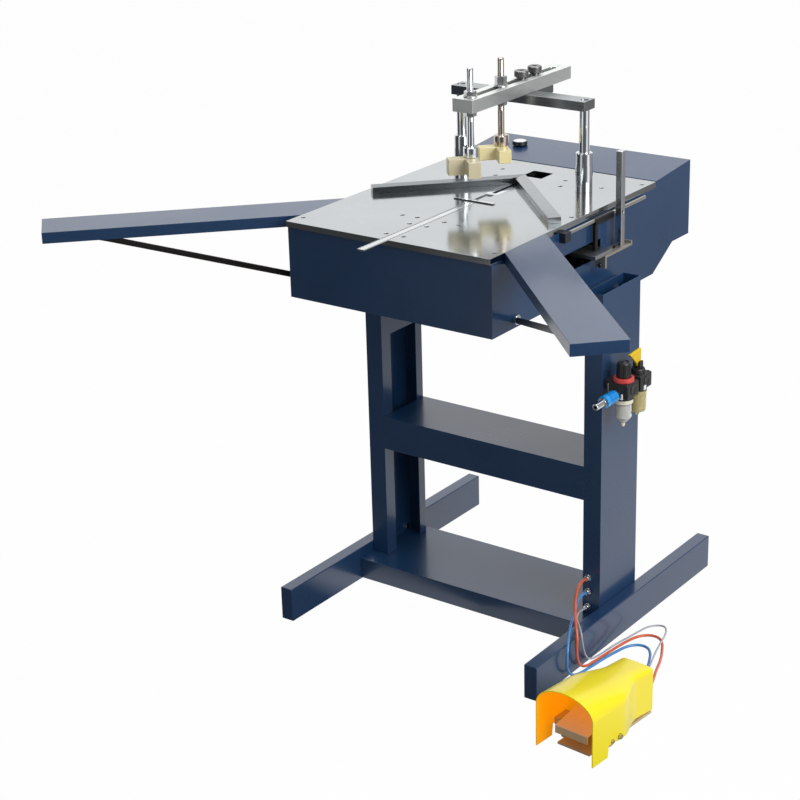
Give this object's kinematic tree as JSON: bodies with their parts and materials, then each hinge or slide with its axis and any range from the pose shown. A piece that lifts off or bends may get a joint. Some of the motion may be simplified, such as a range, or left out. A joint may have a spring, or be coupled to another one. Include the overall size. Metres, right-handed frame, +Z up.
{
  "type": "picture frame underpinner",
  "caption": "Floor-standing foot-operated underpinner: steel table with mitre fences, powered clamp bridge, shifting nailing head, air unit and guarded foot valve.",
  "frame": {"origin": "centre of the whole machine's box, on the floor", "axes": "+X to the operator's right, +Y to the back of the machine, +Z up"},
  "size_m": [1.3586, 1.0892, 1.196],
  "materials": {
    "navy_paint": "smooth satin paint, dark navy",
    "ground_steel": "surface ground",
    "dark_ground_steel": "ground and oiled",
    "dull_steel": "dull",
    "dark_steel": "blackened",
    "chrome": "polished",
    "bare_aluminium": "milled",
    "spring_steel": "oiled",
    "beige_pad": "hard pad plastic",
    "cream_pad": "hard pad plastic",
    "black_plastic": "fine texture",
    "red_plastic": "smooth",
    "bowl_plastic": "clear",
    "yellow_plastic": "smooth",
    "blue_sleeve": "anodised",
    "yellow_paint": "gloss paint",
    "tan_paint": "satin paint",
    "beige_paint": "satin paint",
    "orange_tube": "smooth tube",
    "blue_tube": "smooth tube",
    "clear_tube": "smooth tube"
  },
  "bodies": {
    "stand": {"feet": "navy_paint", "left_column": "navy_paint", "right_column": "navy_paint", "upper_shelf": "navy_paint", "lower_shelf": "navy_paint", "frame_bolts": "chrome", "body_box": "navy_paint", "base_pan": "navy_paint", "rear_cover": "navy_paint", "table_plate": "ground_steel", "plate_screws": "dark_steel", "left_wing": "navy_paint", "right_wing": "navy_paint", "struts": "dark_steel", "left_fence": "dark_ground_steel", "right_fence": "dark_ground_steel", "nail_guide": "chrome", "post_sleeves": "chrome", "clamp_cylinders": "bare_aluminium", "return_springs": "spring_steel", "slide_rails": "chrome", "side_rod": "chrome", "regulator_body": "black_plastic", "regulator_ring": "red_plastic", "air_bowls": "bowl_plastic", "lubricator_body": "black_plastic", "coupler": "chrome", "bulkhead_fittings": "chrome", "pedal_base": "beige_paint", "pedal_guard": "yellow_paint", "pedal_bolts": "chrome", "pedal_valve": "black_plastic", "orange_hose": "orange_tube", "blue_hose": "blue_tube", "clear_hose": "clear_tube"},
    "bridge": {"clamp_posts": "chrome", "crossbar": "dark_ground_steel"},
    "arm": {"slotted_arm": "dull_steel"},
    "arm_knob_front": {"front_knob": "dark_steel"},
    "arm_knob_rear": {"rear_knob": "dark_steel"},
    "nuts_front": {"front_nuts": "ground_steel"},
    "nuts_rear": {"rear_nuts": "ground_steel"},
    "press_front": {"front_rod": "chrome", "front_pad": "beige_pad"},
    "press_rear": {"rear_rod": "chrome", "rear_pad": "cream_pad"},
    "head": {"carriage": "bare_aluminium", "drive_cylinder": "bare_aluminium", "magazine": "bare_aluminium", "lever_bracket": "ground_steel", "lever_bar": "chrome"},
    "hammer_ram": {"hammer": "chrome"},
    "pusher": {"nail_pusher": "spring_steel"},
    "ruler": {"t_ruler": "chrome"},
    "cover_screw": {"cover_knob": "dark_steel"},
    "pressure_knob": {"regulator_knob": "black_plastic"},
    "shutoff_lever": {"valve_lever": "yellow_plastic"},
    "coupler_ring": {"coupler_sleeve": "blue_sleeve"},
    "pedal": {"treadle": "tan_paint"},
    "plunger": {"valve_plunger": "chrome"}
  },
  "joints": [
    {"name": "clamp_slide", "type": "slide", "parent": "stand", "child": "bridge", "axis": [0, 0, 1], "range_m": [-0.05, 0], "stiffness_N_per_m": 1000, "springref_m": 0.12, "deforming": ["return_springs"]},
    {"name": "arm_slide", "type": "slide", "parent": "bridge", "child": "arm", "axis": [0, 1, 0], "range_m": [-0.03, 0.02]},
    {"name": "front_knob_turn", "type": "hinge", "parent": "bridge", "child": "arm_knob_front", "pos_m": [0, 0.25658, 1.138], "axis": [0, 0, 1], "continuous": true},
    {"name": "rear_knob_turn", "type": "hinge", "parent": "bridge", "child": "arm_knob_rear", "pos_m": [0, 0.30758, 1.138], "axis": [0, 0, 1], "continuous": true},
    {"name": "front_nuts_slide", "type": "slide", "parent": "arm", "child": "nuts_front", "axis": [0, 1, 0], "range_m": [-0.007, 0.02]},
    {"name": "rear_nuts_slide", "type": "slide", "parent": "arm", "child": "nuts_rear", "axis": [0, 1, 0], "range_m": [-0.02, 0.012]},
    {"name": "front_rod_slide", "type": "slide", "parent": "nuts_front", "child": "press_front", "axis": [0, 0, 1], "range_m": [-0.008, 0.04]},
    {"name": "rear_rod_slide", "type": "slide", "parent": "nuts_rear", "child": "press_rear", "axis": [0, 0, 1], "range_m": [-0.008, 0.04]},
    {"name": "head_slide", "type": "slide", "parent": "stand", "child": "head", "axis": [0, 1, 0], "range_m": [-0.07, 0]},
    {"name": "hammer_lift", "type": "slide", "parent": "head", "child": "hammer_ram", "axis": [0, 0, 1], "range_m": [0, 0.035], "stiffness_N_per_m": 200, "springref_m": -0.02},
    {"name": "pusher_slide", "type": "slide", "parent": "head", "child": "pusher", "axis": [0, 1, 0], "range_m": [-0.06, 0], "stiffness_N_per_m": 20, "springref_m": 0.1},
    {"name": "ruler_slide", "type": "slide", "parent": "stand", "child": "ruler", "axis": [0, 1, 0], "range_m": [-0.06, 0.05]},
    {"name": "cover_screw_turn", "type": "hinge", "parent": "stand", "child": "cover_screw", "pos_m": [-0.15, 0.48258, 0.93], "axis": [0, 0, 1], "continuous": true},
    {"name": "pressure_knob_turn", "type": "hinge", "parent": "stand", "child": "pressure_knob", "pos_m": [0.336, 0.10958, 0.61], "axis": [0, 0, 1], "range_deg": [-170, 170]},
    {"name": "shutoff_lever_turn", "type": "hinge", "parent": "stand", "child": "shutoff_lever", "pos_m": [0.336, 0.16758, 0.607], "axis": [1, 0, 0], "range_deg": [-90, 0]},
    {"name": "coupler_ring_slide", "type": "slide", "parent": "stand", "child": "coupler_ring", "axis": [0, 1, 0], "range_m": [0, 0.004], "stiffness_N_per_m": 600, "springref_m": -0.005},
    {"name": "pedal_hinge", "type": "hinge", "parent": "stand", "child": "pedal", "pos_m": [0.49612, -0.19104, 0.066], "axis": [0.9962, -0.0872, 0], "range_deg": [0, 7], "stiffness_Nm_per_rad": 12, "springref_deg": -11.46},
    {"name": "plunger_slide", "type": "slide", "parent": "stand", "child": "plunger", "axis": [0, 0, -1], "range_m": [0, 0.0045]}
  ],
  "couplings": [
    {"joint": "plunger_slide", "follows": "pedal_hinge", "m_per_rad": 0.036}
  ]
}
